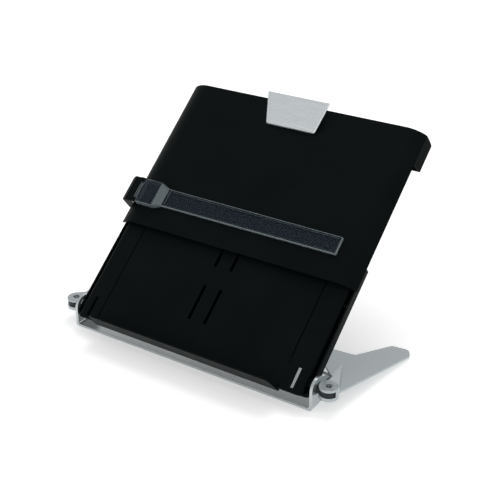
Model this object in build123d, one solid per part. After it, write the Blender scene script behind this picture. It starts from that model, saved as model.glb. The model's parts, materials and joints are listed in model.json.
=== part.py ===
"""Desk document holder: a tilting two-part panel on a metal base with swinging legs.

Frame: millimetres, +Z up, +X to the reader's right, +Y away from the reader.
The origin is on the desk, midway along the tilt axis and straight below it.
Panel pieces are drawn in the panel's own frame and then leaned back:
x across, s up the slope of the panel, n out of its front face.
"""
import os
from math import asin, atan2, cos, degrees, hypot, radians, sin, sqrt

from build123d import *

# ---------------------------------------------------------------- driving sizes
# Panel attitude
TILT = 38.4                # lean of the panel above the desk, degrees
PIVOT_HEIGHT = 27.0        # tilt axis above the desk
PIVOT_S = 18.5             # tilt axis up the slope from the panel's lower edge
PIVOT_N = -8.8             # tilt axis behind the lower panel's front face

# Base plate with its two upright ears
EAR_INNER = 158.2          # half the clear width between the ears
EAR_WALL = 3.2
PLATE_WALL = 2.8
FOOT_RISE = 1.2            # rubber under the plate
PLATE_FRONT = 12.0         # plate edge in front of the tilt axis
PLATE_BACK = 58.0          # plate edge behind the tilt axis
PLATE_CORNER = 12.0
EAR_CREST = 42.9           # front edge and top slope would meet here, before rounding
EAR_FRONT_ROUND = 13.0
EAR_SHOULDER_Y = 17.2      # the ear's top bends down here
EAR_SHOULDER_TOP = 31.1
EAR_SHOULDER_ROUND = 8.0
EAR_BACK = 30.5            # ear edge behind the tilt axis
EAR_BACK_TOP = 20.2
BEND_OUTSIDE = 3.0
BEND_INSIDE = 2.0
FRONT_STRIP_INSET = 28.0   # front foot strip short of the ears
FRONT_STRIP_EDGE = 3.0     # strip behind the plate's front edge
FRONT_STRIP_WIDTH = 16.0
FRONT_STRIP_CORNER = 3.0
REAR_PAD_RADIUS = 8.0
REAR_PAD_INSET_X = 40.0
REAR_PAD_INSET_Y = 14.0

# Leg hinge: a forked lug on the leg straddles a tongue on the ear
LEG_PIN_X = 172.6
LEG_PIN_Y = 3.2
LUG_RADIUS = 10.8
LUG_BOTTOM = 16.5
LUG_TOP = 29.7
LUG_EDGE_ROUND = 0.8
FORK_BOTTOM = 20.5         # the fork's gap takes the tongue between these heights
FORK_TOP = 27.3
FORK_CLOSED_FROM = 74.0    # the fork is solid beyond this angle from straight ahead
TONGUE_GAP = 0.6           # round the tongue
TONGUE_RADIUS = 10.3       # nearly flush with the lug
TONGUE_END_ANGLE = 58.0    # the tongue's outer part ends here, from straight ahead
TONGUE_EYE_RADIUS = 6.0
TONGUE_ROOT_FRONT = 6.0    # root of the tongue in front of the pin
TONGUE_ROOT_BACK = 5.0     # root of the tongue behind the pin
TENON_WIDTH = 3.2
LEG_PIN_RADIUS = 3.0
LEG_PIN_BEVEL = 0.6
PIN_RECESS = 0.7           # pin end below the lug's top
PIN_WELL_RADIUS = 4.0
PIN_WELL_DEPTH = 1.4

# Leg plate, in the leg's own frame: u outboard, v along the leg from the pin
LEG_SPLAY = 10.0           # legs spread outwards from straight back, degrees
LEG_ROOT_HEIGHT = 22.1     # height of the plate's top at the pin
LEG_TIP_HEIGHT = 3.4       # height of the plate's top at the tip
LEG_WALL = 2.6
LEG_LENGTH = 148.0
LEG_OUTER_U = 7.1          # straight outer edge
LEG_OUTER_V = 138.5        # the outer edge turns to the tip here
LEG_TIP_U = -1.0
LEG_TIP_INNER_U = -19.7
LEG_TIP_INNER_V = 141.2
LEG_NOTCH_U = -32.8        # inner corner between the long leg and its side arm
LEG_NOTCH_V = 88.8
LEG_ARM_U = -66.0
LEG_ARM_HIGH_V = 77.4
LEG_ARM_LOW_V = 64.0
LEG_ARM_SLANT = 3.0
LEG_EAR_GAP = 0.8          # plate beside the ear
LEG_CORNER = 6.0
BOSS_APEX_U = -29.4        # the ridge behind the lug runs out on the plate here
BOSS_APEX_V = 61.2
BOSS_RIDGE_U = 7.8         # the ridge leaves the lug's top here
BOSS_RIDGE_V = 7.1
BOSS_SIDE_SPREAD = 2.2     # foot of the steep side beyond the ridge
BOSS_BELOW_TOP = 0.35      # ridge's flat start below the lug's top
BOSS_LEFT_U = -12.5
BOSS_LEFT_V = 8.8
BOSS_LEFT_TOP = 24.4
LEG_FOOT_RADIUS = 7.0
LEG_FOOT_U = -7.0
LEG_FOOT_V = 132.0

# Tilt pins through the ears into the tray
TILT_PIN_RADIUS = 2.5
TILT_PIN_HEAD_RADIUS = 4.0
TILT_PIN_LENGTH = 14.0
TILT_BOSS_RADIUS = 5.6
TILT_BOSS_LENGTH = 12.0
BOSS_CLEAR = 0.3           # flat on the boss, clear of the side panel
WASHER_RADIUS = 5.2

# Lower section: tray with three front panels
TRAY_SIDE_GAP = 0.6        # tray side to ear
TRAY_LENGTH = 160.0
TRAY_LOW_S = 2.5           # tray's low wall, behind the panels' low edge
TRAY_LOW_BEVEL = 5.0
TRAY_DEPTH = 15.0          # front face to the tray's back
TRAY_WALL = 1.8
TRAY_RIM_N = -4.4          # top of the tray's side walls
TRAY_CORNER = 6.0
TRAY_HIGH_CORNER = 2.0
PANEL_WALL = 2.2
PANEL_GROOVE = 4.0         # open groove between side panel and tray wall
PANEL_CORNER = 5.0
PANEL_EDGE_ROUND = 5.0
PARTING_X = 124.0
PARTING_GAP = 1.2
SIDE_SLOT_X = 138.4
SIDE_SLOT_LOW = 4.0
SIDE_SLOT_HIGH = 29.0
SLOT_WIDTH = 4.2
CENTRE_SLOT_COLUMNS = (-12.2, 9.2)
CENTRE_SLOT_LOWS = (39.2, 107.6)
CENTRE_SLOT_LENGTH = 44.0
CENTRE_SLOT_WIDTH = 3.8
LEDGE_LAP = 1.0            # ledge beyond the parting line at its foot
LEDGE_TAPER = 4.0          # narrower by this at the top, each end
LEDGE_HEIGHT = 22.0
LEDGE_WALL = 2.0
LEDGE_CORNER = 6.0
LEDGE_BASE_N = -4.0
WINDOW_LOW_X = 120.0       # windows in the tray floor behind the side slots
WINDOW_HIGH_X = 148.0
WINDOW_LOW_S = 4.0
WINDOW_HIGH_S = 40.0
WINDOW_CORNER = 2.0

# Upper section: curved shell with a closed head
SHELL_FRONT_N = 8.0
SHELL_START = 128.2
SHELL_LENGTH = 203.8
SHELL_WALL = 2.2
SHELL_OVERHANG = 2.8       # shell wider than the tray, each side
SHELL_EDGE_WIDTH = 24.0    # curved margin at each side
SHELL_EDGE_RADIUS = 34.0
SHELL_TOP_CORNER = 6.0
SHELL_LOW_CORNER = 4.0
HEAD_LENGTH = 40.0         # closed head at the shell's top end
HEAD_FLARE = 3.8           # head wider than the shell, each side
HEAD_BACK_N = -16.0
HEAD_FLANGE = 6.0
COVER_GAP = 0.3
COVER_SCREW_X = 50.0

# Rails that carry the upper section inside the tray
RAIL_X = 98.0
RAIL_WIDTH = 28.0
RAIL_HEIGHT = 6.0
RAIL_WALL = 1.5
RAIL_FRONT_N = -5.2
RAIL_LOW = 125.0
RAIL_GAP = 0.4
RAIL_RIB = 1.6
RAIL_RIB_LOW = 60.0
RAIL_RIB_END = 2.0         # rib ends this far short of the tray's open end
RAIL_END_GAP = 4.0
CARRIAGE_SETBACK = 14.8    # crossbar below the shell's top end
CARRIAGE_WIDTH = 18.0
CARRIAGE_HALF = 116.0
BRAKE_SETBACK = 4.0
BRAKE_LENGTH = 18.0
BRAKE_GAP = 0.1

# Screws
SCREW_RADIUS = 1.5
SCREW_HEAD_RADIUS = 2.8
SCREW_HEAD = 1.4
BOSS_RADIUS = 4.0

# Spring clip at the top
CLIP_TOP_HALF = 42.6
CLIP_LOW_HALF = 33.2
CLIP_SPAN = 36.4           # low edge to top edge, measured along the panel
CLIP_PAST_END = 0.4        # top edge beyond the shell's end
CLIP_LOW_N = 10.8
CLIP_TOP_N = 24.4
CLIP_WALL = 1.8
CLIP_RIM = 3.8             # raised rim on the two sides and the low edge
CLIP_RIM_RAISE = 0.8
CLIP_RIM_INNER_BEVEL = 1.2
CLIP_RIM_OUTER_BEVEL = 1.3
CLIP_CORNER = 4.0
CLIP_PIN_SETBACK = 14.8    # clip pin below the shell's end
CLIP_PIN_RISE = 4.6        # clip pin above the shell's front face
CLIP_PIN_RADIUS = 1.5
CLIP_PIN_HALF = 27.0
BRACKET_HALF = 30.0
BRACKET_WALL = 1.4
BRACKET_EAR_X = 25.0
BRACKET_EAR_RADIUS = 2.6
BRACKET_SETBACK = 3.8      # bracket's top edge below the shell's end
BRACKET_LENGTH = 22.0
BRACKET_SCREW_X = 12.0
CHEEK_X = 22.8
CHEEK_RADIUS = 2.8
PAD_WALL = 1.4
PAD_LENGTH = 4.5
PAD_EDGE = 0.6             # grip pad in from the low edge
PAD_LIFT = 0.25            # grip pad above the shell
SPRING_COIL_RADIUS = 2.3
SPRING_WIRE_RADIUS = 0.4
SPRING_PITCH = 1.4
SPRING_TURNS = 12

# Line guide: black slider on the shell's left edge, clear hinged arm
SLIDER_LOW = 151.3
SLIDER_LENGTH = 33.4
SLIDER_OUTER = 168.0
SLIDER_EDGE_GAP = 1.3      # block beside the shell's edge
SLIDER_BACK_N = -8.0
SLIDER_BEVEL = 2.0
SLIDER_SHELL_GAP = 0.4
SLIDER_TRAY_GAP = 0.4      # hook beside the tray
SLIDER_HOOK_WALL = 1.2
SLIDER_HOOK_DROP = 0.7     # hook clear of the shell's edge
SLIDER_JAW_INNER = 152.6
SLIDER_PAD_INSET = 8.0
SLIDER_PAD_WALL = 1.0
SLIDER_JAW_N = 14.4
GUIDE_AXIS_X = 149.6
GUIDE_AXIS_N = 12.8
GUIDE_PIN_RADIUS = 1.2
KNUCKLE_RADIUS = 3.0
KNUCKLE_GAP = 0.5
LUG_LENGTH = 5.6
CAP_OUTER = 146.0
CAP_INNER = 122.3          # the cap slopes down to the arm from here
CAP_TOP_N = 16.6
CAP_WALL = 2.0
CAP_END_INSET = 0.7        # cap shorter than the slider at each end
CAP_BEVEL = 0.5
ARM_START = 111.0
ARM_END = 125.5
ARM_LOW = 156.5
ARM_ROOT_WIDTH = 24.0
ARM_TIP_WIDTH = 22.0
ARM_LIFT = 1.0             # arm clear of the shell's face
ARM_WALL = 1.6
ARM_RIM = 2.6
ARM_RIM_RAISE = 1.6
ARM_RIM_BEVEL = 1.0
ARM_CORNER = 1.5

# Fits
RUNNING_FIT = 0.06         # radial, pin that turns in its hole
SET_FIT = 0.02             # radial, pin that is fixed in its hole
FACE_GAP = 0.05            # washer between moving faces

# ---------------------------------------------------------------- worked out
EAR_OUTER = EAR_INNER + EAR_WALL
PLATE_TOP = FOOT_RISE + PLATE_WALL
TRAY_HALF = EAR_INNER - TRAY_SIDE_GAP
TRAY_WALL_INNER = TRAY_HALF - TRAY_WALL
TRAY_FLOOR_N = -TRAY_DEPTH + TRAY_WALL
SIDE_PANEL_HALF = TRAY_WALL_INNER - PANEL_GROOVE
SHELL_END = SHELL_START + SHELL_LENGTH
SHELL_HALF = TRAY_HALF + SHELL_OVERHANG
SHELL_FLAT_HALF = SHELL_HALF - SHELL_EDGE_WIDTH
SHELL_BACK_N = SHELL_FRONT_N - SHELL_WALL
EDGE_CENTRE_N = SHELL_FRONT_N - SHELL_EDGE_RADIUS
EDGE_ANGLE = degrees(asin(SHELL_EDGE_WIDTH / SHELL_EDGE_RADIUS))
EDGE_TIP_N = EDGE_CENTRE_N + SHELL_EDGE_RADIUS * cos(radians(EDGE_ANGLE))
EDGE_INNER_RADIUS = SHELL_EDGE_RADIUS - SHELL_WALL
EDGE_INNER_X = SHELL_FLAT_HALF + EDGE_INNER_RADIUS * sin(radians(EDGE_ANGLE))
EDGE_INNER_N = EDGE_CENTRE_N + EDGE_INNER_RADIUS * cos(radians(EDGE_ANGLE))
HEAD_HALF = SHELL_HALF + HEAD_FLARE
HEAD_LOW = SHELL_END - HEAD_LENGTH
COVER_FRONT_N = HEAD_BACK_N + SHELL_WALL
RAIL_BACK_N = RAIL_FRONT_N - RAIL_HEIGHT
CARRIAGE_HIGH = SHELL_END - CARRIAGE_SETBACK
CARRIAGE_LOW = CARRIAGE_HIGH - CARRIAGE_WIDTH
COVER_SCREW_S = (CARRIAGE_LOW + CARRIAGE_HIGH) / 2
CLIP_TOP_S = SHELL_END + CLIP_PAST_END
CLIP_LOW_S = CLIP_TOP_S - CLIP_SPAN
CLIP_PIN_S = SHELL_END - CLIP_PIN_SETBACK
CLIP_PIN_N = SHELL_FRONT_N + CLIP_PIN_RISE
BRACKET_HIGH = SHELL_END - BRACKET_SETBACK
BRACKET_LOW = BRACKET_HIGH - BRACKET_LENGTH
SLIDER_HIGH = SLIDER_LOW + SLIDER_LENGTH
SLIDER_BLOCK_INNER = SHELL_HALF + SLIDER_EDGE_GAP
SLIDER_HOOK_INNER = TRAY_HALF + SLIDER_TRAY_GAP
ARM_FLOOR_N = SHELL_FRONT_N + ARM_LIFT
ARM_TOP_N = ARM_FLOOR_N + ARM_WALL + ARM_RIM_RAISE
LEG_SLOPE = (LEG_ROOT_HEIGHT - LEG_TIP_HEIGHT) / LEG_LENGTH
FAR = 400.0                # reach of a cutting block, beyond any piece

foot_y = -(PIVOT_S * cos(radians(TILT)) - PIVOT_N * sin(radians(TILT)))
foot_z = PIVOT_HEIGHT - (PIVOT_S * sin(radians(TILT)) + PIVOT_N * cos(radians(TILT)))
panel_frame = Pos(0, foot_y, foot_z) * Rot(TILT, 0, 0)


# ---------------------------------------------------------------- helpers
def block(x_span, y_span, z_span):
    """Box between two corners, each span given as (low, high)."""
    size = [high - low for low, high in (x_span, y_span, z_span)]
    middle = [(high + low) / 2 for low, high in (x_span, y_span, z_span)]
    return Pos(*middle) * Box(*size)


def rod(radius, x_span, y, z):
    """Round bar along X."""
    length = x_span[1] - x_span[0]
    return Pos((x_span[0] + x_span[1]) / 2, y, z) * Rot(0, 90, 0) * Cylinder(radius, length)


def post(radius, x, y, z_span):
    """Round bar along Z."""
    length = z_span[1] - z_span[0]
    return Pos(x, y, (z_span[0] + z_span[1]) / 2) * Cylinder(radius, length)


def across_slope(face, s_span):
    """Sweep a profile drawn in the x-n plane up the slope."""
    return Pos(0, s_span[0], 0) * extrude(face, amount=s_span[1] - s_span[0], dir=(0, 1, 0))


def outline(points):
    """Face in the x-y plane with straight sides."""
    return make_face(Polyline(*points, close=True))


def profile(points):
    """Face in the x-n plane with straight sides."""
    return make_face(Polyline(*[(x, 0, n) for x, n in points], close=True))


def prism(points, z_span):
    """Upright prism on a plan outline."""
    return Pos(0, 0, z_span[0]) * extrude(outline(points), amount=z_span[1] - z_span[0])


def upright(points, x_span):
    """Solid between two x planes on a profile of (y, z) points."""
    face = make_face(Polyline(*[(x_span[0], y, z) for y, z in points], close=True))
    return extrude(face, amount=x_span[1] - x_span[0], dir=(1, 0, 0))


def under_plane(first, second, third):
    """Large block under the plane through three points."""
    across = Vector(*second) - Vector(*first)
    normal = across.cross(Vector(*third) - Vector(*first))
    if normal.Z < 0:
        normal = -normal
    plane = Plane(origin=first, x_dir=across, z_dir=normal)
    return plane.location * Pos(0, 0, -FAR / 2) * Box(2 * FAR, 2 * FAR, FAR)


def rounded_plan(x_half, s_span, corner_low, corner_high, n_span):
    """Upright block whose low and high corners are rounded in plan."""
    solid = block((-x_half, x_half), s_span, n_span)
    upright = solid.edges().filter_by(Axis.Z)
    low = upright.filter_by(lambda edge: edge.center().Y < sum(s_span) / 2)
    solid = fillet(low, corner_low)
    upright = solid.edges().filter_by(Axis.Z)
    high = upright.filter_by(lambda edge: edge.center().Y > s_span[1] - corner_high / 2)
    return fillet(high, corner_high)


def slot(x, s_span, width):
    """Square-ended cutter for a slot that runs up a front panel."""
    return block((x - width / 2, x + width / 2), s_span, (-PANEL_WALL, 0))


def both_sides(solid):
    return [solid, mirror(solid, Plane.YZ)]


def screw(x, s, head_n, tip_n):
    """Screw driven from the back: head at head_n, tip nearer the front."""
    head = post(SCREW_HEAD_RADIUS, x, s, (head_n - SCREW_HEAD, head_n))
    shank = post(SCREW_RADIUS, x, s, (head_n, tip_n))
    return head + shank


def screw_hole(x, s, n_span):
    return post(SCREW_RADIUS + SET_FIT, x, s, n_span)


def head_well(x, s, floor_n):
    """Cutter for a screw head sunk in a back face."""
    return post(SCREW_HEAD_RADIUS + SET_FIT, x, s, (floor_n - FAR, floor_n))


# ---------------------------------------------------------------- base
def make_base_plate():
    plate = block((-EAR_INNER, EAR_INNER), (-PLATE_FRONT, PLATE_BACK), (FOOT_RISE, PLATE_TOP))
    back_corners = plate.edges().filter_by(Axis.Z).filter_by(lambda edge: edge.center().Y > 0)
    plate = fillet(back_corners, PLATE_CORNER)
    ear = upright([(-PLATE_FRONT, FOOT_RISE), (-PLATE_FRONT, EAR_CREST),
                   (EAR_SHOULDER_Y, EAR_SHOULDER_TOP), (EAR_BACK, EAR_BACK_TOP),
                   (EAR_BACK, FOOT_RISE)], (EAR_INNER, EAR_OUTER))
    shoulder = ear.edges().filter_by(Axis.X).sort_by(Axis.Z)[-2]
    ear = fillet(shoulder, EAR_SHOULDER_ROUND)
    crest = ear.edges().filter_by(Axis.X).sort_by(Axis.Z)[-1]
    ear = fillet(crest, EAR_FRONT_ROUND)
    bend = ear.edges().filter_by(Axis.Y).filter_by(lambda edge: edge.center().Z < PLATE_TOP)
    ear = fillet(bend.sort_by(Axis.X)[-1], BEND_OUTSIDE)
    ear -= rod(TILT_PIN_RADIUS + SET_FIT, (0, FAR), 0, PIVOT_HEIGHT)
    ear -= make_tilt_pin_head(SET_FIT)
    ear -= make_tongue_tenon(SET_FIT)
    solid = plate
    for side in both_sides(ear):
        solid += side
    inside = solid.edges().filter_by(Axis.Y).filter_by(
        lambda edge: abs(edge.center().Z - PLATE_TOP) < 0.01
        and abs(abs(edge.center().X) - EAR_INNER) < 0.01
        and edge.center().Y < EAR_BACK / 2)
    return fillet(inside, BEND_INSIDE)


def make_tilt_pin_head(extra):
    """Countersunk head, flush with the ear's outer face."""
    depth = TILT_PIN_HEAD_RADIUS - TILT_PIN_RADIUS
    cone = Cone(TILT_PIN_RADIUS + extra, TILT_PIN_HEAD_RADIUS + extra, depth)
    return Pos(EAR_OUTER - depth / 2, 0, PIVOT_HEIGHT) * Rot(0, 90, 0) * cone


def make_tilt_pin():
    shank = rod(TILT_PIN_RADIUS, (EAR_OUTER - TILT_PIN_LENGTH, EAR_OUTER), 0, PIVOT_HEIGHT)
    return shank + make_tilt_pin_head(0)


def make_tilt_washer():
    span = (TRAY_HALF + FACE_GAP, EAR_INNER)
    disc = rod(WASHER_RADIUS, span, 0, PIVOT_HEIGHT)
    return disc - rod(TILT_PIN_RADIUS + SET_FIT, span, 0, PIVOT_HEIGHT)


def make_tongue_tenon(extra):
    """Tenon that roots the tongue in the ear."""
    back = LEG_PIN_Y + TONGUE_ROOT_BACK
    return block((EAR_INNER, EAR_OUTER), (back - TENON_WIDTH - extra, back + extra),
                 (FORK_BOTTOM + TONGUE_GAP - extra, FORK_TOP - TONGUE_GAP + extra))


def ahead_of(angle, back, z_span):
    """Region in front of the pin: inboard up to a back line, outboard up to an angle."""
    ray = (FAR * sin(radians(angle)), -FAR * cos(radians(angle)))
    return prism([(0, 0), ray, (FAR, -FAR), (-FAR, -FAR), (-FAR, back), (0, back)], z_span)


def make_tongue():
    """Tongue in the fork, drawn about the pin: a round front, an eye and a root on the ear."""
    heights = (FORK_BOTTOM + TONGUE_GAP, FORK_TOP - TONGUE_GAP)
    front = post(TONGUE_RADIUS, 0, 0, heights)
    front &= ahead_of(TONGUE_END_ANGLE, TONGUE_ROOT_BACK, heights)
    front += post(TONGUE_EYE_RADIUS, 0, 0, heights)
    front += block((EAR_OUTER - LEG_PIN_X, 0), (-TONGUE_ROOT_FRONT, TONGUE_ROOT_BACK), heights)
    front -= block((-FAR, EAR_OUTER - LEG_PIN_X), (-FAR, FAR), heights)
    front -= post(LEG_PIN_RADIUS + RUNNING_FIT, 0, 0, heights)
    return Pos(LEG_PIN_X, LEG_PIN_Y, 0) * front + make_tongue_tenon(0)


def make_front_foot_strip():
    half = EAR_INNER - FRONT_STRIP_INSET
    front = -PLATE_FRONT + FRONT_STRIP_EDGE
    strip = block((-half, half), (front, front + FRONT_STRIP_WIDTH), (0, FOOT_RISE))
    return fillet(strip.edges().filter_by(Axis.Z), FRONT_STRIP_CORNER)


def make_rear_foot_pads():
    pad = post(REAR_PAD_RADIUS, EAR_INNER - REAR_PAD_INSET_X, PLATE_BACK - REAR_PAD_INSET_Y,
               (0, FOOT_RISE))
    return Compound(both_sides(pad))


# ---------------------------------------------------------------- legs
def leg_height(v):
    """Height of the leg plate's top at a distance v along the leg."""
    return LEG_ROOT_HEIGHT - LEG_SLOPE * v


def leg_layer(top_offset, bottom_offset):
    """Sloping layer between two heights measured from the plate's top."""
    start = -LUG_RADIUS
    end = LEG_LENGTH + LUG_RADIUS
    return upright([(start, leg_height(start) + top_offset), (end, leg_height(end) + top_offset),
                    (end, leg_height(end) + bottom_offset), (start, leg_height(start) + bottom_offset)],
                   (-FAR / 2, FAR / 2))


def beside_ear(y):
    """Leg-frame point next to the ear's outer face, a distance y behind the pin."""
    x = EAR_OUTER + LEG_EAR_GAP - LEG_PIN_X
    turn = radians(LEG_SPLAY)
    return (x * cos(turn) - y * sin(turn), x * sin(turn) + y * cos(turn))


def leg_plan():
    """Outline of the leg with its side arm, upright through its full height."""
    past_ear = EAR_BACK + LEG_EAR_GAP - LEG_PIN_Y
    corners = [
        (LEG_OUTER_U, 0), (LEG_OUTER_U, LEG_OUTER_V), (LEG_TIP_U, LEG_LENGTH),
        (LEG_TIP_INNER_U, LEG_TIP_INNER_V), (LEG_NOTCH_U, LEG_NOTCH_V),
        (LEG_ARM_U, LEG_ARM_HIGH_V), (LEG_ARM_U - LEG_ARM_SLANT, LEG_ARM_LOW_V),
        beside_ear(past_ear), beside_ear(TONGUE_ROOT_BACK + TONGUE_GAP), (0, 0)]
    plan = prism(corners, (0, LUG_TOP))
    free_corners = plan.edges().filter_by(Axis.Z).filter_by(
        lambda edge: edge.center().Y > BOSS_APEX_V)
    return fillet(free_corners, LEG_CORNER)


def make_boss():
    """Ridge that falls from the lug's top to the plate: a broad facet and a steep side."""
    ridge_start = (BOSS_RIDGE_U, BOSS_RIDGE_V, LUG_TOP)
    apex = (BOSS_APEX_U, BOSS_APEX_V, leg_height(BOSS_APEX_V))
    left = (BOSS_LEFT_U, BOSS_LEFT_V, BOSS_LEFT_TOP)
    foot_u = BOSS_RIDGE_U + BOSS_SIDE_SPREAD
    steep_foot = (foot_u, BOSS_RIDGE_V, leg_height(BOSS_RIDGE_V))
    plan = prism([(foot_u, BOSS_RIDGE_V), (BOSS_APEX_U, BOSS_APEX_V), (BOSS_LEFT_U, BOSS_LEFT_V),
                  (BOSS_LEFT_U, 0), (LEG_OUTER_U, 0)], (0, LUG_TOP - BOSS_BELOW_TOP))
    boss = plan & under_plane(ridge_start, apex, left) & under_plane(ridge_start, apex, steep_foot)
    return boss & leg_layer(LUG_TOP, -LEG_WALL / 2)


def make_leg():
    """Right leg in its own frame: pin on the Z axis, leg along +Y."""
    plan = leg_plan()
    leg = plan & leg_layer(0, -LEG_WALL)
    leg += make_boss() & plan
    lug = post(LUG_RADIUS, 0, 0, (LUG_BOTTOM, LUG_TOP))
    leg += fillet(lug.edges().sort_by(Axis.Z)[-1], LUG_EDGE_ROUND)
    fork = (FORK_BOTTOM, FORK_TOP)
    opening = ahead_of(FORK_CLOSED_FROM, TONGUE_ROOT_BACK + TONGUE_GAP, fork)
    leg -= Rot(0, 0, LEG_SPLAY) * opening
    leg -= post(TONGUE_EYE_RADIUS + TONGUE_GAP, 0, 0, fork)
    leg -= post(LEG_PIN_RADIUS + SET_FIT, 0, 0, (0, LUG_TOP))
    leg -= post(PIN_WELL_RADIUS, 0, 0, (LUG_TOP - PIN_WELL_DEPTH, LUG_TOP))
    return leg


def make_leg_pin():
    pin = post(LEG_PIN_RADIUS, 0, 0, (LUG_BOTTOM, LUG_TOP - PIN_RECESS))
    return chamfer(pin.edges().sort_by(Axis.Z)[-1], LEG_PIN_BEVEL)


def make_leg_foot():
    foot = post(LEG_FOOT_RADIUS, LEG_FOOT_U, LEG_FOOT_V, (0, LUG_TOP))
    return foot - leg_layer(LUG_TOP, -LEG_WALL)


def place_leg(solid):
    """Right-hand leg pieces, splayed and set on the right-hand pin."""
    return Pos(LEG_PIN_X, LEG_PIN_Y, 0) * Rot(0, 0, -LEG_SPLAY) * solid


# ---------------------------------------------------------------- lower section
TRAY_BOSSES = [(60, 14), (60, 150), (140, 54), (140, 148)]   # (x, s) on each side


def tray_low_bevel(inset):
    """Corner cut off the tray's low back edge, moved into the tray by an inset."""
    reach = TRAY_LOW_BEVEL + inset * sqrt(2)
    return upright([(TRAY_LOW_S, -TRAY_DEPTH), (TRAY_LOW_S + reach, -TRAY_DEPTH),
                    (TRAY_LOW_S, -TRAY_DEPTH + reach)], (-FAR, FAR))


def make_tray():
    body = rounded_plan(TRAY_HALF, (TRAY_LOW_S, TRAY_LENGTH), TRAY_CORNER, TRAY_HIGH_CORNER,
                        (-TRAY_DEPTH, TRAY_RIM_N))
    hollow = rounded_plan(TRAY_WALL_INNER, (TRAY_LOW_S + TRAY_WALL, TRAY_LENGTH + TRAY_HIGH_CORNER),
                          TRAY_CORNER - TRAY_WALL, TRAY_HIGH_CORNER - TRAY_WALL, (TRAY_FLOOR_N, FAR))
    tray = body - tray_low_bevel(0) - (hollow - tray_low_bevel(TRAY_WALL))
    for x, s in TRAY_BOSSES:
        tray += both_sides(post(BOSS_RADIUS, x, s, (TRAY_FLOOR_N, -PANEL_WALL)))
    rib_middles = [RAIL_X - RAIL_WIDTH / 2 - RAIL_GAP - RAIL_RIB / 2,
                   RAIL_X + RAIL_WIDTH / 2 + RAIL_GAP + RAIL_RIB / 2]
    for x in rib_middles:
        rib = block((x - RAIL_RIB / 2, x + RAIL_RIB / 2), (RAIL_RIB_LOW, TRAY_LENGTH - RAIL_RIB_END),
                    (TRAY_FLOOR_N, -PANEL_WALL))
        tray += both_sides(rib)
    tilt_boss = rod(TILT_BOSS_RADIUS, (TRAY_HALF - TILT_BOSS_LENGTH, TRAY_HALF), PIVOT_S, PIVOT_N)
    tilt_boss -= block((0, FAR), (0, FAR), (-PANEL_EDGE_ROUND - BOSS_CLEAR, FAR))
    tray += both_sides(tilt_boss)
    window = block((WINDOW_LOW_X, WINDOW_HIGH_X - TILT_BOSS_LENGTH / 2),
                   (WINDOW_LOW_S, WINDOW_HIGH_S), (-FAR, TRAY_FLOOR_N))
    tray -= both_sides(fillet(window.edges().filter_by(Axis.Z), WINDOW_CORNER))
    bore = rod(TILT_PIN_RADIUS + RUNNING_FIT, (TRAY_HALF - TILT_BOSS_LENGTH, TRAY_HALF),
               PIVOT_S, PIVOT_N)
    tray -= both_sides(bore)
    for x, s in TRAY_BOSSES:
        tray -= both_sides(screw_hole(x, s, (-TRAY_DEPTH, 0)))
        tray -= both_sides(head_well(x, s, -TRAY_DEPTH + SCREW_HEAD))
    return tray


def make_panel_screws():
    screws = []
    for x, s in TRAY_BOSSES:
        screws += both_sides(screw(x, s, -TRAY_DEPTH + SCREW_HEAD, -PANEL_WALL))
    return Compound(screws)


def make_centre_panel():
    half = PARTING_X - PARTING_GAP / 2
    panel = block((-half, half), (0, TRAY_LENGTH), (-PANEL_WALL, 0))
    foot_half = PARTING_X + LEDGE_LAP
    top_half = foot_half - LEDGE_TAPER
    ledge = across_slope(profile([(-foot_half, LEDGE_BASE_N), (foot_half, LEDGE_BASE_N),
                                  (top_half, LEDGE_HEIGHT), (-top_half, LEDGE_HEIGHT)]),
                         (-LEDGE_WALL, 0))
    panel += fillet(ledge.edges().filter_by(Axis.Y).sort_by(Axis.Z)[-2:], LEDGE_CORNER)
    for low in CENTRE_SLOT_LOWS:
        for x in CENTRE_SLOT_COLUMNS:
            panel -= slot(x, (low, low + CENTRE_SLOT_LENGTH), CENTRE_SLOT_WIDTH)
    return panel


def make_side_panel():
    """Right-hand side panel with a rounded outer edge."""
    start = PARTING_X + PARTING_GAP / 2
    radius = PANEL_EDGE_ROUND
    centre_x = SIDE_PANEL_HALF - radius
    inner = radius - PANEL_WALL
    rim = [Line((start, 0, 0), (centre_x, 0, 0)),
           Edge.make_circle(radius, Plane((centre_x, 0, -radius), x_dir=(1, 0, 0), z_dir=(0, -1, 0)),
                            start_angle=0, end_angle=90),
           Line((centre_x + radius, 0, -radius), (centre_x + inner, 0, -radius)),
           Edge.make_circle(inner, Plane((centre_x, 0, -radius), x_dir=(1, 0, 0), z_dir=(0, -1, 0)),
                            start_angle=0, end_angle=90),
           Line((centre_x, 0, -PANEL_WALL), (start, 0, -PANEL_WALL)),
           Line((start, 0, -PANEL_WALL), (start, 0, 0))]
    panel = across_slope(Face(Wire(rim)), (0, TRAY_LENGTH))
    panel -= slot(SIDE_SLOT_X, (SIDE_SLOT_LOW, SIDE_SLOT_HIGH), SLOT_WIDTH)
    return panel & rounded_plan(SIDE_PANEL_HALF, (0, TRAY_LENGTH), PANEL_CORNER, TRAY_HIGH_CORNER,
                                (-FAR / 2, FAR / 2))


def make_brake_pads():
    pad = block((RAIL_X - RAIL_WIDTH / 2, RAIL_X + RAIL_WIDTH / 2),
                (TRAY_LENGTH - BRAKE_SETBACK - BRAKE_LENGTH, TRAY_LENGTH - BRAKE_SETBACK),
                (TRAY_FLOOR_N, RAIL_BACK_N - BRAKE_GAP))
    return Compound(both_sides(pad))


# ---------------------------------------------------------------- upper section
def edge_arc(radius, side):
    """Curved margin of the shell at one side, drawn in the x-n plane."""
    plane = Plane((side * SHELL_FLAT_HALF, 0, EDGE_CENTRE_N), x_dir=(side, 0, 0), z_dir=(0, -side, 0))
    return Edge.make_circle(radius, plane, start_angle=90 - EDGE_ANGLE, end_angle=90)


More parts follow.
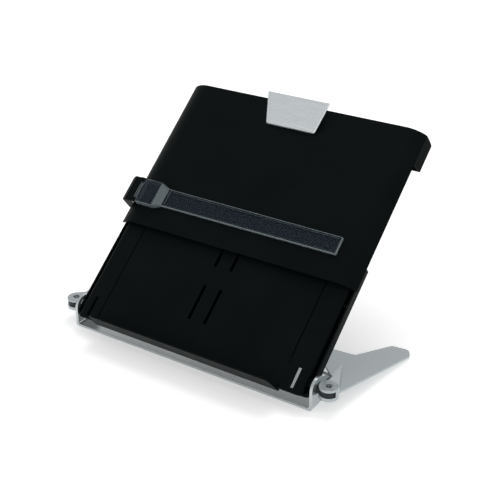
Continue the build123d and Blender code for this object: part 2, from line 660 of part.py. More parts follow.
def shell_wires(closing_points):
    """Outer margin curve of the shell, closed through the given points."""
    top = Line((-SHELL_FLAT_HALF, 0, SHELL_FRONT_N), (SHELL_FLAT_HALF, 0, SHELL_FRONT_N))
    edges = [edge_arc(SHELL_EDGE_RADIUS, -1), top, edge_arc(SHELL_EDGE_RADIUS, 1)]
    path = [(SHELL_HALF, 0, EDGE_TIP_N)] + closing_points + [(-SHELL_HALF, 0, EDGE_TIP_N)]
    for start, end in zip(path, path[1:]):
        edges.append(Line(start, end))
    return Face(Wire(edges))


def shell_face():
    """Thin curved section of the shell."""
    top = Line((-SHELL_FLAT_HALF, 0, SHELL_FRONT_N), (SHELL_FLAT_HALF, 0, SHELL_FRONT_N))
    back = Line((-SHELL_FLAT_HALF, 0, SHELL_BACK_N), (SHELL_FLAT_HALF, 0, SHELL_BACK_N))
    edges = [top, back]
    for side in (-1, 1):
        edges.append(edge_arc(SHELL_EDGE_RADIUS, side))
        edges.append(edge_arc(EDGE_INNER_RADIUS, side))
        edges.append(Line((side * SHELL_HALF, 0, EDGE_TIP_N), (side * EDGE_INNER_X, 0, EDGE_INNER_N)))
    return Face(Wire(edges))


def make_upper_panel():
    shell = across_slope(shell_face(), (SHELL_START, SHELL_END))
    head_span = (HEAD_LOW, SHELL_END)
    inner_half = HEAD_HALF - HEAD_FLANGE
    wall = profile([(SHELL_HALF, EDGE_TIP_N), (HEAD_HALF, HEAD_BACK_N), (inner_half, HEAD_BACK_N),
                    (inner_half, COVER_FRONT_N), (HEAD_HALF - SHELL_WALL - 0.6, COVER_FRONT_N),
                    (EDGE_INNER_X, EDGE_INNER_N)])
    shell += both_sides(across_slope(wall, head_span))
    end_face = shell_wires([(HEAD_HALF, 0, HEAD_BACK_N), (-HEAD_HALF, 0, HEAD_BACK_N)])
    shell += across_slope(end_face, (SHELL_END - SHELL_WALL, SHELL_END))
    shell &= rounded_plan(HEAD_HALF, (SHELL_START, SHELL_END), SHELL_LOW_CORNER, SHELL_TOP_CORNER,
                          (-FAR / 2, FAR / 2))
    for x in (-BRACKET_SCREW_X, BRACKET_SCREW_X):
        shell -= screw_hole(x, CLIP_PIN_S, (0, FAR))
    return shell


def make_rail():
    """Right-hand rail: a channel that opens to the back."""
    low_x = RAIL_X - RAIL_WIDTH / 2
    high_x = RAIL_X + RAIL_WIDTH / 2
    span = (RAIL_LOW, SHELL_END - SHELL_WALL - RAIL_END_GAP)
    channel = block((low_x, high_x), span, (RAIL_BACK_N, RAIL_FRONT_N))
    channel -= block((low_x + RAIL_WALL, high_x - RAIL_WALL), span,
                     (RAIL_BACK_N, RAIL_FRONT_N - RAIL_WALL))
    return channel - screw_hole(RAIL_X, COVER_SCREW_S, (RAIL_BACK_N, RAIL_FRONT_N))


def make_carriage_bar():
    bar = block((-CARRIAGE_HALF, CARRIAGE_HALF), (CARRIAGE_LOW, CARRIAGE_HIGH),
                (RAIL_FRONT_N, SHELL_BACK_N))
    for x in (RAIL_X, COVER_SCREW_X):
        bar -= both_sides(screw_hole(x, COVER_SCREW_S, (RAIL_FRONT_N, SHELL_BACK_N - 1)))
    for x in (-BRACKET_SCREW_X, BRACKET_SCREW_X):
        bar -= screw_hole(x, CLIP_PIN_S, (0, FAR))
    return bar


def make_rail_screws():
    one = screw(RAIL_X, COVER_SCREW_S, RAIL_FRONT_N - RAIL_WALL, SHELL_BACK_N - 1)
    return Compound(both_sides(one))


def make_back_cover():
    half = HEAD_HALF - HEAD_FLANGE - COVER_GAP
    span = (HEAD_LOW, SHELL_END - SHELL_WALL)
    cover = block((-half, half), span, (HEAD_BACK_N, COVER_FRONT_N))
    cover += both_sides(post(BOSS_RADIUS, COVER_SCREW_X, COVER_SCREW_S, (HEAD_BACK_N, RAIL_FRONT_N)))
    cover -= both_sides(screw_hole(COVER_SCREW_X, COVER_SCREW_S, (HEAD_BACK_N, RAIL_FRONT_N)))
    return cover - both_sides(head_well(COVER_SCREW_X, COVER_SCREW_S, HEAD_BACK_N + SCREW_HEAD))


def make_cover_screws():
    one = screw(COVER_SCREW_X, COVER_SCREW_S, HEAD_BACK_N + SCREW_HEAD, SHELL_BACK_N - 1)
    return Compound(both_sides(one))


# ---------------------------------------------------------------- clip
clip_angle = degrees(atan2(CLIP_TOP_N - CLIP_LOW_N, CLIP_TOP_S - CLIP_LOW_S))
clip_length = hypot(CLIP_TOP_N - CLIP_LOW_N, CLIP_TOP_S - CLIP_LOW_S)
clip_frame = Pos(0, CLIP_LOW_S, CLIP_LOW_N) * Rot(clip_angle, 0, 0)


def clip_outline(inset, top_inset):
    """Trapezoid of the clip's face, its sides and low edge shrunk by an inset."""
    taper = (CLIP_TOP_HALF - CLIP_LOW_HALF) / clip_length
    low = inset
    high = clip_length - top_inset
    side = inset * sqrt(1 + taper ** 2)
    low_half = CLIP_LOW_HALF + taper * low - side
    high_half = CLIP_LOW_HALF + taper * high - side
    return outline([(-low_half, low), (low_half, low), (high_half, high), (-high_half, high)])


def make_clip_plate():
    plate = Pos(0, 0, -CLIP_WALL) * extrude(clip_outline(0, 0), amount=CLIP_WALL)
    plate = fillet(plate.edges().filter_by(Axis.Z).sort_by(Axis.Y)[:2], CLIP_CORNER)
    rim_edges = plate.faces().sort_by(Axis.Z)[-1].edges().filter_by(
        lambda edge: edge.center().Y < clip_length - CLIP_WALL)
    plate = chamfer(rim_edges, CLIP_RIM_OUTER_BEVEL)
    field_top = clip_outline(CLIP_RIM, -CLIP_RIM)
    field_low = Pos(0, 0, -CLIP_RIM_RAISE) * clip_outline(CLIP_RIM + CLIP_RIM_INNER_BEVEL, -CLIP_RIM)
    plate -= loft([field_low, field_top])
    plate = clip_frame * plate
    cheek_top = Pos(0, 0, -CLIP_WALL / 2) * block((-CHEEK_X, -CHEEK_X + BRACKET_WALL),
                                                  (0, clip_length), (-FAR, 0))
    cheek = block((-CHEEK_X, -CHEEK_X + BRACKET_WALL), (CLIP_PIN_S - CHEEK_RADIUS, CLIP_PIN_S + CHEEK_RADIUS),
                  (CLIP_PIN_N, CLIP_PIN_N + FAR)) & (clip_frame * cheek_top)
    cheek += rod(CHEEK_RADIUS, (-CHEEK_X, -CHEEK_X + BRACKET_WALL), CLIP_PIN_S, CLIP_PIN_N)
    plate += both_sides(cheek)
    return plate - rod(CLIP_PIN_RADIUS + RUNNING_FIT, (-FAR, FAR), CLIP_PIN_S, CLIP_PIN_N)


def make_clip_grip_pad():
    half = CLIP_LOW_HALF - CLIP_CORNER
    pad = block((-half, half), (PAD_EDGE, PAD_EDGE + PAD_LENGTH), (-CLIP_WALL - PAD_WALL, -CLIP_WALL))
    floor = block((-FAR, FAR), (0, FAR), (-FAR, SHELL_FRONT_N + PAD_LIFT))
    return clip_frame * pad - floor


def make_clip_bracket():
    bracket = block((-BRACKET_HALF, BRACKET_HALF), (BRACKET_LOW, BRACKET_HIGH),
                    (SHELL_FRONT_N, SHELL_FRONT_N + BRACKET_WALL))
    ear_span = (BRACKET_EAR_X - BRACKET_WALL, BRACKET_EAR_X)
    ear = block(ear_span, (CLIP_PIN_S - BRACKET_EAR_RADIUS, CLIP_PIN_S + BRACKET_EAR_RADIUS),
                (SHELL_FRONT_N, CLIP_PIN_N))
    ear += rod(BRACKET_EAR_RADIUS, ear_span, CLIP_PIN_S, CLIP_PIN_N)
    bracket += both_sides(ear)
    bracket -= rod(CLIP_PIN_RADIUS + SET_FIT, (-FAR, FAR), CLIP_PIN_S, CLIP_PIN_N)
    for x in (-BRACKET_SCREW_X, BRACKET_SCREW_X):
        bracket -= screw_hole(x, CLIP_PIN_S, (0, FAR))
    return bracket


def make_clip_pin():
    return rod(CLIP_PIN_RADIUS, (-CLIP_PIN_HALF, CLIP_PIN_HALF), CLIP_PIN_S, CLIP_PIN_N)


def make_clip_rivets():
    """Two rivets that hold the bracket down through the shell and the bar."""
    rivets = []
    for x in (-BRACKET_SCREW_X, BRACKET_SCREW_X):
        rivets.append(post(SCREW_RADIUS, x, CLIP_PIN_S, (0, SHELL_FRONT_N + BRACKET_WALL)))
    return Compound(rivets)


def make_clip_spring():
    height = SPRING_PITCH * SPRING_TURNS
    path = Helix(SPRING_PITCH, height, SPRING_COIL_RADIUS)
    wire_plane = Plane(path @ 0, z_dir=path % 0)
    coil = sweep(wire_plane * Circle(SPRING_WIRE_RADIUS), path, is_frenet=True)
    return Pos(-height / 2, CLIP_PIN_S, CLIP_PIN_N) * Rot(0, 90, 0) * coil


# ---------------------------------------------------------------- line guide
def make_slider():
    """Drawn at the right-hand edge, then mirrored to the left."""
    gap_radius = SHELL_EDGE_RADIUS + SLIDER_SHELL_GAP
    inner_x = SLIDER_BLOCK_INNER - SLIDER_SHELL_GAP
    lower_n = EDGE_CENTRE_N + sqrt(gap_radius ** 2 - (inner_x - SHELL_FLAT_HALF) ** 2)
    upper_n = EDGE_CENTRE_N + sqrt(gap_radius ** 2 - (SLIDER_JAW_INNER - SHELL_FLAT_HALF) ** 2)
    mid_x = (inner_x + SLIDER_JAW_INNER) / 2
    mid_n = EDGE_CENTRE_N + sqrt(gap_radius ** 2 - (mid_x - SHELL_FLAT_HALF) ** 2)
    hook_top = EDGE_INNER_N - SLIDER_HOOK_DROP
    hook_low = hook_top - SLIDER_HOOK_WALL
    bevel = SLIDER_BEVEL
    corners = [
        (SLIDER_JAW_INNER, upper_n), (SLIDER_JAW_INNER, SLIDER_JAW_N),
        (SLIDER_OUTER - 3 * bevel, SLIDER_JAW_N), (SLIDER_OUTER, SLIDER_JAW_N - 2 * bevel),
        (SLIDER_OUTER, SLIDER_BACK_N + bevel), (SLIDER_OUTER - bevel, SLIDER_BACK_N),
        (SLIDER_BLOCK_INNER, SLIDER_BACK_N), (SLIDER_BLOCK_INNER, hook_low),
        (SLIDER_HOOK_INNER, hook_low), (SLIDER_HOOK_INNER, hook_top), (inner_x, hook_top),
        (inner_x, lower_n)]
    edges = [Line((a[0], 0, a[1]), (b[0], 0, b[1])) for a, b in zip(corners, corners[1:])]
    edges.append(ThreePointArc((inner_x, 0, lower_n), (mid_x, 0, mid_n), (SLIDER_JAW_INNER, 0, upper_n)))
    slider = across_slope(Face(Wire(edges)), (SLIDER_LOW, SLIDER_HIGH))
    outer_corners = slider.edges().filter_by(Axis.Z).filter_by(
        lambda edge: edge.center().X > SLIDER_OUTER - 0.1)
    slider = chamfer(outer_corners, bevel)
    for low in (SLIDER_LOW, SLIDER_HIGH - LUG_LENGTH):
        lug = block((GUIDE_AXIS_X, SLIDER_JAW_INNER + 1), (low, low + LUG_LENGTH),
                    (GUIDE_AXIS_N - KNUCKLE_RADIUS, GUIDE_AXIS_N + KNUCKLE_RADIUS))
        lug += Pos(GUIDE_AXIS_X, low + LUG_LENGTH / 2, GUIDE_AXIS_N) * Rot(90, 0, 0) * Cylinder(
            KNUCKLE_RADIUS, LUG_LENGTH)
        slider += lug
    axis_bar = Pos(GUIDE_AXIS_X, SLIDER_LOW + SLIDER_LENGTH / 2, GUIDE_AXIS_N) * Rot(90, 0, 0)
    slider -= axis_bar * Cylinder(GUIDE_PIN_RADIUS + SET_FIT, SLIDER_LENGTH)
    return mirror(slider, Plane.YZ)


def make_slider_pad():
    """Friction pad between the slider and the shell's edge."""
    inner_x = SLIDER_BLOCK_INNER - SLIDER_SHELL_GAP
    high_n = EDGE_TIP_N - SLIDER_HOOK_DROP
    pad = block((SHELL_HALF + BRAKE_GAP, inner_x),
                (SLIDER_LOW + SLIDER_PAD_INSET, SLIDER_HIGH - SLIDER_PAD_INSET),
                (high_n - SLIDER_PAD_WALL, high_n))
    return mirror(pad, Plane.YZ)


def make_guide_pin():
    bar = Cylinder(GUIDE_PIN_RADIUS, SLIDER_LENGTH)
    return Pos(-GUIDE_AXIS_X, SLIDER_LOW + SLIDER_LENGTH / 2, GUIDE_AXIS_N) * Rot(90, 0, 0) * bar


def guide_cap(inset):
    """Cap that slopes and narrows to the arm, shrunk by an inset for its hollow."""
    outer = -CAP_OUTER + inset
    inner = -ARM_START - inset
    low = SLIDER_LOW + CAP_END_INSET + inset
    high = SLIDER_HIGH - CAP_END_INSET - inset
    side = profile([(outer, ARM_FLOOR_N), (outer, CAP_TOP_N - inset), (-CAP_INNER, CAP_TOP_N - inset),
                    (inner, ARM_TOP_N - inset), (inner, ARM_FLOOR_N)])
    plan = prism([(outer, low), (-CAP_INNER, low), (inner, ARM_LOW + inset),
                  (inner, ARM_LOW + ARM_ROOT_WIDTH - inset), (-CAP_INNER, high), (outer, high)],
                 (ARM_FLOOR_N, CAP_TOP_N))
    return across_slope(side, (low, high)) & plan


def make_line_guide():
    """Clear arm: hollow cap and a long flat arm with a raised rim."""
    cap = guide_cap(0)
    cap = chamfer(cap.faces().sort_by(Axis.Z)[-1].edges(), CAP_BEVEL) - guide_cap(CAP_WALL)
    arm_middle = ARM_LOW + ARM_ROOT_WIDTH / 2
    tip_low = arm_middle - ARM_TIP_WIDTH / 2
    tip_high = arm_middle + ARM_TIP_WIDTH / 2
    arm = prism([(-ARM_START, ARM_LOW), (ARM_END, tip_low), (ARM_END, tip_high),
                 (-ARM_START, ARM_LOW + ARM_ROOT_WIDTH)], (ARM_FLOOR_N, ARM_TOP_N))
    arm = fillet(arm.edges().filter_by(Axis.Z).sort_by(Axis.X)[-2:], ARM_CORNER)
    outer_rim = arm.faces().sort_by(Axis.Z)[-1].edges().filter_by(
        lambda edge: edge.center().X > -ARM_START + ARM_RIM)
    arm = chamfer(outer_rim, ARM_RIM_BEVEL)
    arm -= prism([(-ARM_START + ARM_RIM, ARM_LOW + ARM_RIM), (ARM_END - ARM_RIM, tip_low + ARM_RIM),
                  (ARM_END - ARM_RIM, tip_high - ARM_RIM),
                  (-ARM_START + ARM_RIM, ARM_LOW + ARM_ROOT_WIDTH - ARM_RIM)],
                 (ARM_FLOOR_N + ARM_WALL, FAR))
    knuckle_low = SLIDER_LOW + LUG_LENGTH + KNUCKLE_GAP
    knuckle_length = SLIDER_LENGTH - 2 * (LUG_LENGTH + KNUCKLE_GAP)
    middle = knuckle_low + knuckle_length / 2
    knuckle = Pos(-GUIDE_AXIS_X, middle, GUIDE_AXIS_N) * Rot(90, 0, 0) * Cylinder(
        KNUCKLE_RADIUS - 0.3, knuckle_length)
    bridge = block((-GUIDE_AXIS_X, -CAP_OUTER + CAP_WALL / 2), (knuckle_low, knuckle_low + knuckle_length),
                   (GUIDE_AXIS_N, GUIDE_AXIS_N + KNUCKLE_RADIUS - 0.3))
    guide = cap + arm + knuckle + bridge
    bore = Pos(-GUIDE_AXIS_X, middle, GUIDE_AXIS_N) * Rot(90, 0, 0) * Cylinder(
        GUIDE_PIN_RADIUS + RUNNING_FIT, SLIDER_LENGTH)
    return guide - bore


# ---------------------------------------------------------------- write
def right_and_left(name, solid):
    return {"right_" + name: solid, "left_" + name: mirror(solid, Plane.YZ)}


parts = {
    "base_plate": make_base_plate(),
    "front_foot_strip": make_front_foot_strip(),
    "rear_foot_pads": make_rear_foot_pads(),
}
parts.update(right_and_left("hinge_tongue", make_tongue()))
parts.update(right_and_left("tilt_pin", make_tilt_pin()))
parts.update(right_and_left("tilt_washer", make_tilt_washer()))
parts.update(right_and_left("leg", place_leg(make_leg())))
parts.update(right_and_left("leg_pin", place_leg(make_leg_pin())))
parts.update(right_and_left("leg_foot", place_leg(make_leg_foot())))

panel_parts = {
    "lower_tray": make_tray(),
    "centre_panel": make_centre_panel(),
    "panel_screws": make_panel_screws(),
    "rail_brake_pads": make_brake_pads(),
    "upper_panel": make_upper_panel(),
    "carriage_bar": make_carriage_bar(),
    "rail_screws": make_rail_screws(),
    "upper_back_cover": make_back_cover(),
    "cover_screws": make_cover_screws(),
    "clip_bracket": make_clip_bracket(),
    "clip_rivets": make_clip_rivets(),
    "clip_pin": make_clip_pin(),
    "clip_spring": make_clip_spring(),
    "clip_plate": make_clip_plate(),
    "clip_grip_pad": make_clip_grip_pad(),
    "guide_slider": make_slider(),
    "slider_friction_pad": make_slider_pad(),
    "guide_hinge_pin": make_guide_pin(),
    "line_guide": make_line_guide(),
}
panel_parts.update(right_and_left("side_panel", make_side_panel()))
panel_parts.update(right_and_left("rail", make_rail()))
for name, solid in panel_parts.items():
    parts[name] = panel_frame * solid

os.makedirs("parts", exist_ok=True)
for name, solid in parts.items():
    export_step(solid, "parts/" + name + ".step")
    print(name, round(solid.volume), "mm3")
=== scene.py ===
"""Looks for the desk document holder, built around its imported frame. Metres, +Z up."""
import json
import math

import bpy
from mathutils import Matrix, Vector


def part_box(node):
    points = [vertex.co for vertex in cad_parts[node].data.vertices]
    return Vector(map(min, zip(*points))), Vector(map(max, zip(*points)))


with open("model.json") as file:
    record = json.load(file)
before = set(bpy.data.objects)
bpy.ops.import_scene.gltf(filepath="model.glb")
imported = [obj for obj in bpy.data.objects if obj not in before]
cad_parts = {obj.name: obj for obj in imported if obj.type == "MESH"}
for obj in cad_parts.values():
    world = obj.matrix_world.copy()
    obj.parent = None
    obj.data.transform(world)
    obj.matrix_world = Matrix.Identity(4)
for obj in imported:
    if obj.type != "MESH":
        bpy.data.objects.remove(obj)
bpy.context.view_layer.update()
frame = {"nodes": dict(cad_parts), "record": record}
nodes = frame["nodes"]

# ---------------------------------------------------------------- values
PANEL_LEAN = math.radians(38.4)     # lean of the panel at rest
METALLIC = 0.88                     # a little below bare metal, for a lacquered look
BEVEL_SAMPLES = 16
NOISE_LOW = 0.3                     # below this a noise shows its first value
NOISE_HIGH = 0.7                    # above this a noise shows its second value

FLOOR_SIZE = 12.0
FLOOR_COLOUR = (0.92, 0.92, 0.92, 1.0)
FLOOR_GLOW = 0.38                   # brings the unshadowed floor up to white, as it is seen
WORLD_WHITE = (1.0, 1.0, 1.0, 1.0)
SKY_STOPS = [(0.0, 0.95), (0.35, 0.90), (0.60, 0.62), (1.0, 0.70)]   # horizon to overhead

LAMP_PLACE = (-0.1, 0.7, 1.6)
LAMP_AIM = (0.0, 0.05, 0.1)
LAMP_SIZE = 0.7
LAMP_WATTS = 6.0

CAMERA_AZIMUTH = math.radians(32.75)
CAMERA_ELEVATION = math.radians(27.1)
CAMERA_DISTANCE = 1.1254
CAMERA_TARGET = (0.04837, 0.04794, 0.13707)
CAMERA_SENSOR = 36.0                # millimetres
CAMERA_LENS = 74.86                 # millimetres
CAMERA_SHIFT_X = -0.0032
CAMERA_SHIFT_Y = -0.00426


# ---------------------------------------------------------------- material helpers
def new_material(name):
    """Principled material with its node tree; returns the material, its tree and its shader."""
    material = bpy.data.materials.new(name)
    material.use_nodes = True
    tree = material.node_tree
    return material, tree, tree.nodes["Principled BSDF"]


def position(tree, stretch=(1.0, 1.0, 1.0)):
    """Object coordinates in metres, stretched per axis."""
    coords = tree.nodes.new("ShaderNodeTexCoord")
    mapping = tree.nodes.new("ShaderNodeMapping")
    mapping.inputs["Scale"].default_value = stretch
    tree.links.new(coords.outputs["Object"], mapping.inputs["Vector"])
    return mapping.outputs["Vector"]


def vector_math(tree, operation, vector, constant=None):
    """Vector Math node that works on a linked vector and, where it needs one, a constant."""
    node = tree.nodes.new("ShaderNodeVectorMath")
    node.operation = operation
    tree.links.new(vector, node.inputs[0])
    if constant is not None:
        node.inputs[1].default_value = constant
    return node


def noise(tree, vector, scale, detail=2.0, roughness=0.5):
    """Noise with about scale cells per metre."""
    texture = tree.nodes.new("ShaderNodeTexNoise")
    texture.inputs["Scale"].default_value = scale
    texture.inputs["Detail"].default_value = detail
    texture.inputs["Roughness"].default_value = roughness
    tree.links.new(vector, texture.inputs["Vector"])
    return texture.outputs["Fac"]


def ramp(tree, factor, stops):
    """Colour ramp; stops are (position, rgb) or (position, grey)."""
    node = tree.nodes.new("ShaderNodeValToRGB")
    elements = node.color_ramp.elements
    while len(elements) < len(stops):
        elements.new(0.5)
    for element, (place, value) in zip(elements, stops):
        rgb = value if isinstance(value, tuple) else (value, value, value)
        element.position = place
        element.color = (*rgb, 1.0)
    tree.links.new(factor, node.inputs["Fac"])
    return node.outputs["Color"]


def vary(tree, factor, low, high, socket):
    """Lets a noise move a shader's socket between two colours or two greys."""
    tree.links.new(ramp(tree, factor, [(NOISE_LOW, low), (NOISE_HIGH, high)]), socket)


def bump(tree, shader, height, distance, strength, edge_radius=0.0):
    """Fine relief; an edge radius also shades the edges as rounded, so that they catch light."""
    node = tree.nodes.new("ShaderNodeBump")
    node.inputs["Distance"].default_value = distance
    node.inputs["Strength"].default_value = strength
    tree.links.new(height, node.inputs["Height"])
    if edge_radius:
        bevel = tree.nodes.new("ShaderNodeBevel")
        bevel.samples = BEVEL_SAMPLES
        bevel.inputs["Radius"].default_value = edge_radius
        tree.links.new(bevel.outputs["Normal"], node.inputs["Normal"])
    tree.links.new(node.outputs["Normal"], shader.inputs["Normal"])


# ---------------------------------------------------------------- materials
def black_plastic():
    """Moulded black plastic with a fine matt grain and hardly any gloss."""
    material, tree, shader = new_material("black_plastic_grain")
    where = position(tree)
    blotch = noise(tree, where, scale=18.0, detail=3.0)
    haze = noise(tree, where, scale=60.0, detail=4.0)
    grain = noise(tree, where, scale=2400.0)
    vary(tree, blotch, (0.0028, 0.0046, 0.0047), (0.0038, 0.0060, 0.0061), shader.inputs["Base Color"])
    vary(tree, haze, 0.40, 0.47, shader.inputs["Roughness"])
    shader.inputs["Specular IOR Level"].default_value = 0.03
    bump(tree, shader, grain, distance=0.00003, strength=0.5, edge_radius=0.0004)
    return material


def satin_metal(name, dark, light, rough, stretch, edge_radius=0.0005):
    """Brushed or cast metal: streaks run along the axis with the smallest stretch."""
    material, tree, shader = new_material(name)
    streaks = noise(tree, position(tree, stretch), scale=900.0, detail=3.0, roughness=0.6)
    vary(tree, streaks, dark, light, shader.inputs["Base Color"])
    vary(tree, streaks, *rough, shader.inputs["Roughness"])
    shader.inputs["Metallic"].default_value = METALLIC
    bump(tree, shader, streaks, distance=0.00002, strength=0.15, edge_radius=edge_radius)
    return material


def rubber():
    """Matt black rubber with a coarse grain."""
    material, tree, shader = new_material("foot_rubber_matt")
    where = position(tree)
    vary(tree, noise(tree, where, scale=300.0), 0.012, 0.022, shader.inputs["Base Color"])
    shader.inputs["Roughness"].default_value = 0.85
    bump(tree, shader, noise(tree, where, scale=1500.0), distance=0.00005, strength=0.6)
    return material


def clear_plastic():
    """Clear plastic look: tinted and faint on the flat faces; the bevels and walls are lighter, which
    is painted light standing for the light that gathers at the plastic's edges.

    A face is told by its own direction against the panel's, which stays with the piece.
    """
    material, tree, shader = new_material("clear_plastic_edge_light_painted")
    coords = tree.nodes.new("ShaderNodeTexCoord")
    panel_normal = (0.0, -math.sin(PANEL_LEAN), math.cos(PANEL_LEAN))
    facing = vector_math(tree, "DOT_PRODUCT", coords.outputs["Normal"], panel_normal)
    turn = tree.nodes.new("ShaderNodeMath")
    turn.operation = "ABSOLUTE"
    tree.links.new(facing.outputs["Value"], turn.inputs[0])
    side_on, sloped, flat = 0.0, 0.90, 0.985
    # Painted light: the side-on and sloped faces get a lighter colour than the flat faces, for light
    # gathered at the edges.
    colour = ramp(tree, turn.outputs["Value"], [
        (side_on, (0.20, 0.24, 0.25)), (sloped, (0.24, 0.28, 0.29)), (flat, (0.022, 0.034, 0.050))])
    alpha = ramp(tree, turn.outputs["Value"], [(side_on, 0.70), (sloped, 0.80), (flat, 0.30)])
    tree.links.new(colour, shader.inputs["Base Color"])
    tree.links.new(alpha, shader.inputs["Alpha"])
    vary(tree, noise(tree, position(tree), scale=40.0), 0.10, 0.16, shader.inputs["Roughness"])
    shader.inputs["IOR"].default_value = 1.49
    shader.inputs["Specular IOR Level"].default_value = 0.2
    return material


def pin_with_painted_groove_shade(node):
    """Steel pin whose head has a ring of painted shade, standing for a groove that is not cut, around
    its lighter middle.
    """
    material, tree, shader = new_material(node + "_steel")
    low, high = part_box(node)
    middle = [(a + b) / 2 for a, b in zip(low, high)]
    head_radius = (high[0] - low[0]) / 2
    coords = tree.nodes.new("ShaderNodeTexCoord")
    offset = vector_math(tree, "SUBTRACT", coords.outputs["Object"], middle)
    flat_scale = (1.0 / head_radius, 1.0 / head_radius, 0.0)
    flat = vector_math(tree, "MULTIPLY", offset.outputs["Vector"], flat_scale)
    radius = vector_math(tree, "LENGTH", flat.outputs["Vector"])
    # Painted shade: a near-black ring on the pin head stands for the shade in a groove around its
    # middle; no groove is cut.
    painted_groove_shade = (0.012, 0.014, 0.015)
    groove_shade_start, groove_shade_end = 0.50, 0.92
    colour = ramp(tree, radius.outputs["Value"], [
        (0.0, (0.30, 0.31, 0.32)), (0.38, (0.25, 0.26, 0.27)),
        (groove_shade_start, painted_groove_shade), (groove_shade_end, painted_groove_shade), (1.0, (0.20, 0.21, 0.22))])
    tree.links.new(colour, shader.inputs["Base Color"])
    shader.inputs["Metallic"].default_value = METALLIC
    vary(tree, noise(tree, position(tree), scale=800.0), 0.30, 0.42, shader.inputs["Roughness"])
    return material


# Hinge tongues: a dark metal colour, much darker than the steel of the pins.
TONGUE_METAL = satin_metal("tongue_metal_dark", dark=(0.015, 0.018, 0.020),
                           light=(0.040, 0.045, 0.048), rough=(0.30, 0.45), stretch=(1.0, 0.05, 1.0))

SLOT_MATERIALS = {
    "black_plastic": black_plastic(),
    "base_metal": satin_metal("base_metal_satin", dark=(0.47, 0.50, 0.51), light=(0.53, 0.56, 0.57),
                              rough=(0.20, 0.26), stretch=(0.05, 1.0, 1.0)),
    "leg_metal": satin_metal("leg_metal_satin", dark=(0.38, 0.42, 0.435), light=(0.44, 0.48, 0.495),
                             rough=(0.30, 0.40), stretch=(1.0, 0.3, 1.0)),
    "clip_metal": satin_metal("clip_metal_satin", dark=(0.66, 0.70, 0.72), light=(0.75, 0.785, 0.805),
                              rough=(0.24, 0.30), stretch=(0.04, 1.0, 1.0)),
    "pin_steel": satin_metal("pin_steel_turned", dark=(0.40, 0.41, 0.42), light=(0.50, 0.51, 0.52),
                             rough=(0.25, 0.35), stretch=(1.0, 1.0, 1.0), edge_radius=0.0003),
    "rail_metal": satin_metal("rail_metal_mill", dark=(0.45, 0.46, 0.47), light=(0.55, 0.56, 0.57),
                              rough=(0.35, 0.45), stretch=(1.0, 0.05, 0.05)),
    "foot_rubber": rubber(),
    "clear_plastic": clear_plastic(),
}


def dress_nodes():
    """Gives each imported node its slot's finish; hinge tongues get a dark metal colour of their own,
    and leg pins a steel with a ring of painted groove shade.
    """
    for part in frame["record"]["subparts"]:
        name = part["node"]
        finish = SLOT_MATERIALS[part["material_slot"]]
        if name.endswith("hinge_tongue"):
            finish = TONGUE_METAL
        if name.endswith("leg_pin"):
            finish = pin_with_painted_groove_shade(name)
        mesh = nodes[name].data
        mesh.materials.clear()
        mesh.materials.append(finish)


# ---------------------------------------------------------------- floor, light, camera
def seen_directly(tree):
    """1 for camera, glossy and transmission rays, 0 for the light that falls on things."""
    path = tree.nodes.new("ShaderNodeLightPath")
    total = path.outputs["Is Camera Ray"]
    for ray in ("Is Glossy Ray", "Is Transmission Ray"):
        add = tree.nodes.new("ShaderNodeMath")
        add.operation = "ADD"
        add.use_clamp = True
        tree.links.new(total, add.inputs[0])
        tree.links.new(path.outputs[ray], add.inputs[1])
        total = add.outputs["Value"]
    return total


def mix_into(tree, factor, first, second, output):
    """Sends the first shader to the output where the factor is 0, and the second where it is 1."""
    mix = tree.nodes.new("ShaderNodeMixShader")
    tree.links.new(factor, mix.inputs["Fac"])
    tree.links.new(first, mix.inputs[1])
    tree.links.new(second, mix.inputs[2])
    tree.links.new(mix.outputs["Shader"], output.inputs["Surface"])


def make_floor():
    """Pale floor that is seen as white, apart from the object's shadow on it."""
    bpy.ops.mesh.primitive_plane_add(size=FLOOR_SIZE, location=(0.0, 0.0, 0.0))
    floor = bpy.context.object
    floor.name = "studio_floor"
    material, tree, shader = new_material("studio_floor_pale")
    shader.inputs["Base Color"].default_value = FLOOR_COLOUR
    shader.inputs["Roughness"].default_value = 0.9
    shader.inputs["Specular IOR Level"].default_value = 0.0
    glow = tree.nodes.new("ShaderNodeEmission")
    glow.inputs["Strength"].default_value = FLOOR_GLOW
    both = tree.nodes.new("ShaderNodeAddShader")
    tree.links.new(shader.outputs["BSDF"], both.inputs[0])
    tree.links.new(glow.outputs["Emission"], both.inputs[1])
    mix_into(tree, seen_directly(tree), shader.outputs["BSDF"], both.outputs["Shader"],
             tree.nodes["Material Output"])
    floor.data.materials.append(material)


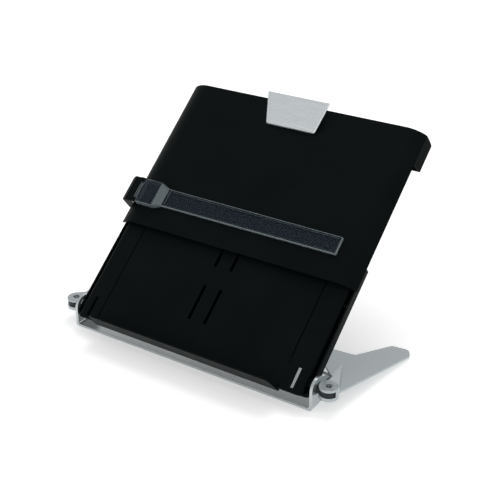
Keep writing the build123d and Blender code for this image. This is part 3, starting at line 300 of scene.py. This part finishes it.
def make_world():
    """White to camera rays; to all others a studio, nearly white low down and greyer above."""
    world = bpy.data.worlds.new("studio")
    bpy.context.scene.world = world
    world.use_nodes = True
    tree = world.node_tree
    coords = tree.nodes.new("ShaderNodeTexCoord")
    split = tree.nodes.new("ShaderNodeSeparateXYZ")
    tree.links.new(coords.outputs["Generated"], split.inputs["Vector"])
    light = tree.nodes["Background"]
    tree.links.new(ramp(tree, split.outputs["Z"], SKY_STOPS), light.inputs["Color"])
    light.inputs["Strength"].default_value = 1.0
    seen = tree.nodes.new("ShaderNodeBackground")
    seen.inputs["Color"].default_value = WORLD_WHITE
    seen.inputs["Strength"].default_value = 1.0
    path = tree.nodes.new("ShaderNodeLightPath")
    mix_into(tree, path.outputs["Is Camera Ray"], light.outputs["Background"],
             seen.outputs["Background"], tree.nodes["World Output"])


def make_lamp():
    """Soft square lamp, above and a little behind the holder."""
    data = bpy.data.lights.new("back_soft", "AREA")
    data.shape = "SQUARE"
    data.size = LAMP_SIZE
    data.energy = LAMP_WATTS
    lamp = bpy.data.objects.new("back_soft", data)
    bpy.context.scene.collection.objects.link(lamp)
    lamp.location = LAMP_PLACE
    aim = Vector(LAMP_AIM) - Vector(LAMP_PLACE)
    lamp.rotation_mode = "QUATERNION"
    lamp.rotation_quaternion = aim.to_track_quat("-Z", "Y")


def make_camera():
    """Camera at the photograph's viewing angle; azimuth is from the front towards the right."""
    level = math.cos(CAMERA_ELEVATION)
    back = Vector((math.sin(CAMERA_AZIMUTH) * level, -math.cos(CAMERA_AZIMUTH) * level,
                   math.sin(CAMERA_ELEVATION)))
    data = bpy.data.cameras.new("camera")
    data.sensor_width = CAMERA_SENSOR
    data.lens = CAMERA_LENS
    data.shift_x = CAMERA_SHIFT_X
    data.shift_y = CAMERA_SHIFT_Y
    camera = bpy.data.objects.new("camera", data)
    bpy.context.scene.collection.objects.link(camera)
    camera.location = Vector(CAMERA_TARGET) + back * CAMERA_DISTANCE
    camera.rotation_mode = "QUATERNION"
    camera.rotation_quaternion = (-back).to_track_quat("-Z", "Y")
    bpy.context.scene.camera = camera


dress_nodes()
make_floor()
make_world()
make_lamp()
make_camera()
bpy.context.scene.view_settings.view_transform = "Standard"
